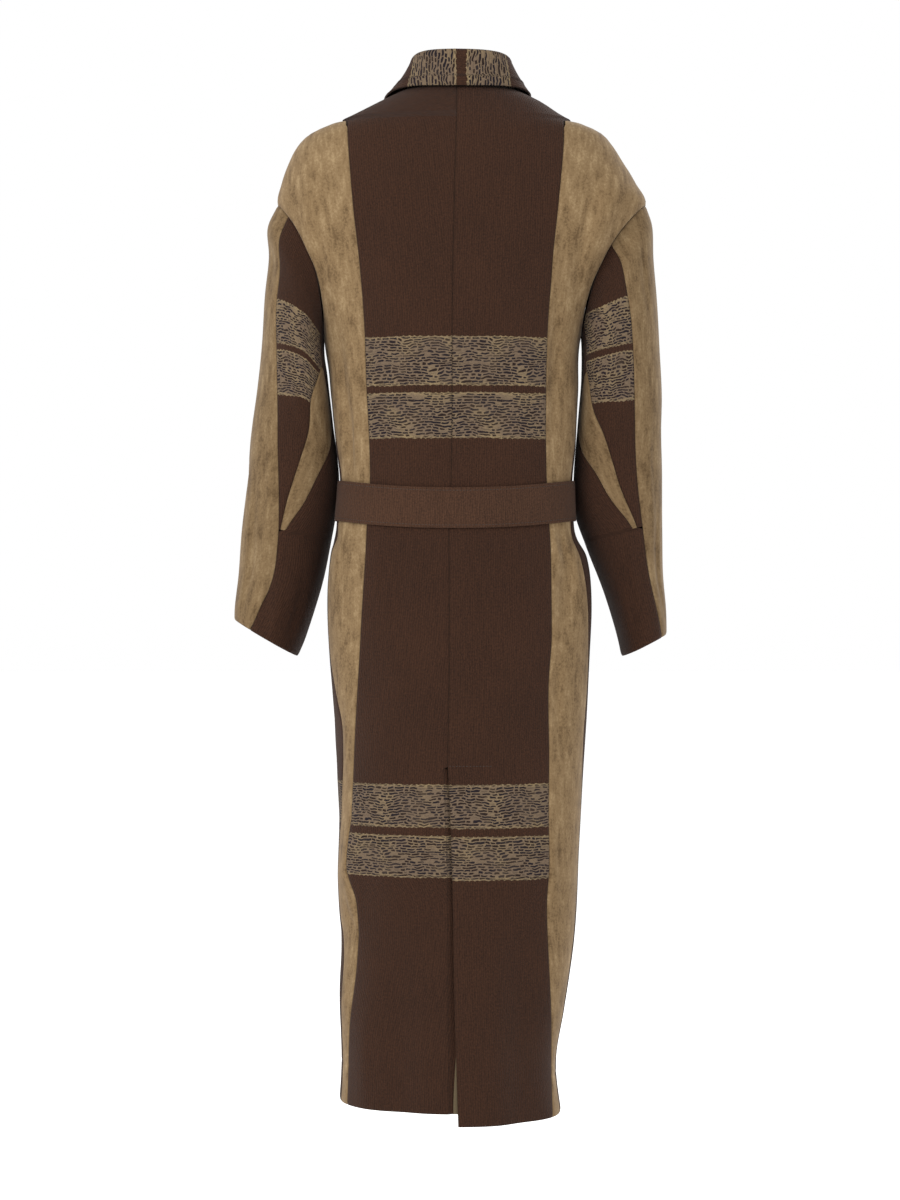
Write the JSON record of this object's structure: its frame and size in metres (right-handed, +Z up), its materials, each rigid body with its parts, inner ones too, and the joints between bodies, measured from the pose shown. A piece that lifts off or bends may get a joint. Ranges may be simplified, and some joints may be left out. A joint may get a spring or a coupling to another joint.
{
  "type": "patchwork coat",
  "caption": "Long belted patchwork coat of dark wool and tan suede, worn hollow form, with a folded collar, wide sleeves and a back vent.",
  "frame": {"origin": "middle of the neck opening at the wearer's shoulder line", "axes": "+Z up along the coat, -Y towards the wearer's front, +X towards the wearer's left"},
  "size_m": [0.5326, 0.258, 1.283],
  "materials": {
    "wool": "brushed wool twill with woven dash bands",
    "suede": "napped suede",
    "belt_wool": "brushed wool twill",
    "facing": "plain cotton twill"
  },
  "bodies": {
    "root": {"back_left_wool": "wool", "back_right_wool": "wool", "back_left_suede": "suede", "back_right_suede": "suede", "front_left_wool": "wool", "front_right_wool": "wool", "sleeve_left_strip": "suede", "sleeve_left_back": "wool", "sleeve_left_gusset": "suede", "sleeve_left_under": "wool", "sleeve_right_strip": "suede", "sleeve_right_back": "wool", "sleeve_right_gusset": "suede", "sleeve_right_under": "wool", "collar": "wool", "belt": "belt_wool", "vent_facing": "facing"}
  },
  "joints": []
}
